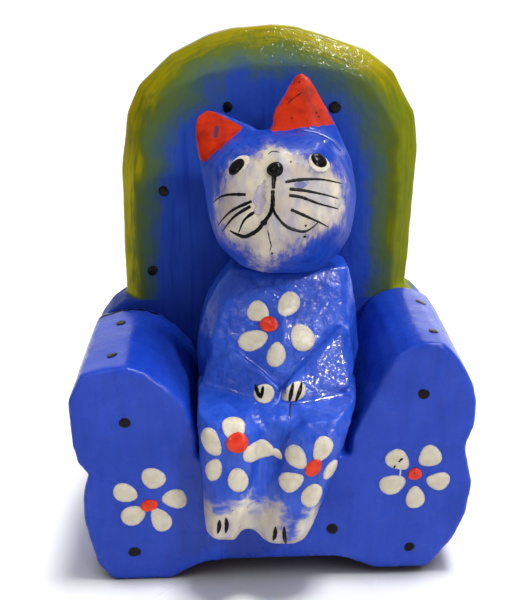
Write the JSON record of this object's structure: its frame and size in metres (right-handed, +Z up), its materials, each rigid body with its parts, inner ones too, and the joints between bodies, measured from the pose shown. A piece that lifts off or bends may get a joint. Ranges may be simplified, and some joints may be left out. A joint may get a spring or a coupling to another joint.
{
  "type": "carved cat figure",
  "caption": "Hand-carved wooden cat sitting in a round-backed armchair, painted glossy blue with flowers, white face and feet, red ears and a yellow arch.",
  "frame": {"origin": "on the surface that the figure stands on, at the centre of its bounding box", "axes": "+Z up, +Y from the cat's face to the back of the chair, +X to the right seen from the front"},
  "size_m": [0.0974, 0.0642, 0.1312],
  "materials": {
    "chair_paint": "violet-blue gloss paint over knife-cut wood, yellow on the arch's bevel",
    "cat_paint": "cobalt blue high-gloss lacquer over lumpy carved wood, white muzzle and feet",
    "bare_wood": "unpainted, matt",
    "white_paint": "thick cream-white paint blobs, satin gloss",
    "red_paint": "orange-red paint dots, gloss",
    "black_paint": "black paint, thin brush strokes and dots, gloss"
  },
  "bodies": {
    "root": {"left_arm": "chair_paint", "right_arm": "chair_paint", "seat_block": "chair_paint", "backrest": "chair_paint", "cat_body": "cat_paint", "cat_head": "cat_paint", "neck_dowel": "bare_wood", "cat_seat_dowel_left": "bare_wood", "cat_seat_dowel_right": "bare_wood", "left_arm_dowel_front": "bare_wood", "left_arm_dowel_rear": "bare_wood", "right_arm_dowel_front": "bare_wood", "right_arm_dowel_rear": "bare_wood", "back_seat_dowel_left": "bare_wood", "back_seat_dowel_right": "bare_wood", "back_arm_dowel_left": "bare_wood", "back_arm_dowel_right": "bare_wood"}
  },
  "joints": []
}
